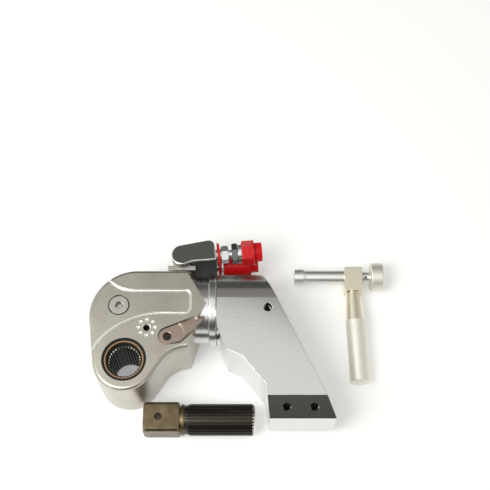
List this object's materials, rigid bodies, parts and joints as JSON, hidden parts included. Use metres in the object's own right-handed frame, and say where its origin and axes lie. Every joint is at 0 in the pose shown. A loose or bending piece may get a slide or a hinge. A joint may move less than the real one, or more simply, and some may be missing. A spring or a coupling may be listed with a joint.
{
  "type": "hydraulic torque wrench",
  "caption": "Ratcheting hydraulic torque wrench lying on its side, with splined reaction arm, swivel hose manifold, dust caps, release lever, loose square drive and screw-on handle.",
  "frame": {"origin": "centre of the drive bore, half way through the head", "axes": "+Z along the drive axis, +X along the cylinder towards the reaction arm, +Y from the drive to the cylinder"},
  "size_m": [0.3838, 0.2506, 0.094],
  "materials": {
    "body_alloy": "satin ground, rounded edges",
    "arm_alloy": "satin ground",
    "turned_steel": "turned",
    "grey_steel": "dark satin",
    "zinc_steel": "bright zinc plate",
    "black_steel": "black oxide, oiled",
    "bronze": "bearing bronze",
    "rubber": "matte",
    "red_plastic": "moulded, glossy",
    "handle_alloy": "turned, satin"
  },
  "bodies": {
    "housing": {"housing": "body_alloy", "rear_shroud": "body_alloy", "shroud_screws": "black_steel", "stop_collar": "turned_steel", "hub_bush_upper": "bronze", "hub_bush_lower": "bronze", "hub_seal_upper": "rubber", "hub_seal_lower": "rubber", "access_plug": "turned_steel", "rod_gland": "bronze", "rod_seal": "rubber", "end_cap": "turned_steel", "end_cap_seal": "rubber"},
    "piston": {"piston": "turned_steel", "piston_rod": "turned_steel", "piston_seal": "rubber", "piston_nut": "turned_steel"},
    "drive_lever": {"drive_plate_upper": "turned_steel", "drive_plate_lower": "turned_steel", "link_pin": "turned_steel", "drive_pawl_pin": "turned_steel", "drive_pawl_springs": "black_steel"},
    "drive_pawl": {"drive_pawl": "black_steel"},
    "ratchet": {"ratchet_wheel": "black_steel", "drive_sleeve": "black_steel", "ratchet_keys": "turned_steel"},
    "release_lever": {"reaction_pawl": "black_steel", "pivot_shaft": "black_steel", "pawl_spring": "turned_steel", "release_lever": "body_alloy"},
    "swivel_base": {"swivel_base": "turned_steel", "swivel_seal": "rubber"},
    "swivel_manifold": {"swivel_manifold": "grey_steel", "swivel_pin": "turned_steel", "coupler_upper": "zinc_steel", "coupler_lower": "zinc_steel", "strap_ring_upper": "red_plastic", "strap_ring_lower": "red_plastic"},
    "dust_cap_upper": {"dust_cap_upper": "red_plastic"},
    "dust_cap_lower": {"dust_cap_lower": "red_plastic"},
    "reaction_arm": {"reaction_arm": "arm_alloy"},
    "handle": {"handle_tube": "handle_alloy", "handle_block": "handle_alloy", "handle_grip": "handle_alloy"},
    "handle_knob": {"handle_spindle": "turned_steel", "handle_knob": "handle_alloy", "knob_pin": "black_steel"},
    "drive_shaft": {"drive_shaft": "black_steel"}
  },
  "joints": [
    {"name": "piston_slide", "type": "slide", "parent": "housing", "child": "piston", "axis": [-1, 0, 0], "range_m": [0, 0.0315]},
    {"name": "lever_swing", "type": "hinge", "parent": "housing", "child": "drive_lever", "pos_m": [0, 0, 0], "axis": [0, 0, 1], "range_deg": [0, 24.1]},
    {"name": "drive_pawl_lift", "type": "hinge", "parent": "drive_lever", "child": "drive_pawl", "pos_m": [0.00853, 0.04963, 0], "axis": [0, 0, 1], "range_deg": [-4, 0], "stiffness_Nm_per_rad": 0.5, "springref_deg": 5.73},
    {"name": "ratchet_spin", "type": "hinge", "parent": "housing", "child": "ratchet", "pos_m": [0, 0, 0], "axis": [0, 0, 1], "continuous": true},
    {"name": "release_press", "type": "hinge", "parent": "housing", "child": "release_lever", "pos_m": [0.0526, 0.0305, 0], "axis": [0, 0, 1], "range_deg": [-6, 0], "stiffness_Nm_per_rad": 1.5, "springref_deg": 5.73},
    {"name": "swivel_turn", "type": "hinge", "parent": "housing", "child": "swivel_base", "pos_m": [0.0675, 0.1265, 0], "axis": [0, 1, 0], "continuous": true},
    {"name": "swivel_tilt", "type": "hinge", "parent": "swivel_base", "child": "swivel_manifold", "pos_m": [0.0675, 0.1453, 0], "axis": [0, 0, 1], "range_deg": [0, 165]},
    {"name": "cap_upper_pull", "type": "slide", "parent": "swivel_manifold", "child": "dust_cap_upper", "axis": [0.9962, 0.0872, 0], "range_m": [0, 0.025]},
    {"name": "cap_lower_pull", "type": "slide", "parent": "swivel_manifold", "child": "dust_cap_lower", "axis": [0.9962, 0.0872, 0], "range_m": [0, 0.025]},
    {"name": "arm_pull", "type": "slide", "parent": "housing", "child": "reaction_arm", "axis": [1, 0, 0], "range_m": [0, 0.05]},
    {"name": "handle_lift", "type": "slide", "parent": "housing", "child": "handle", "axis": [0, 0, 1], "range_m": [0, 0.15]},
    {"name": "knob_turn", "type": "hinge", "parent": "handle", "child": "handle_knob", "pos_m": [0.33, 0.1406, -0.028], "axis": [1, 0, 0], "continuous": true},
    {"name": "shaft_lift", "type": "slide", "parent": "housing", "child": "drive_shaft", "axis": [0, 0, 1], "range_m": [0, 0.15]}
  ],
  "couplings": [
    {"joint": "lever_swing", "follows": "piston_slide", "rad_per_m": 13.298}
  ]
}
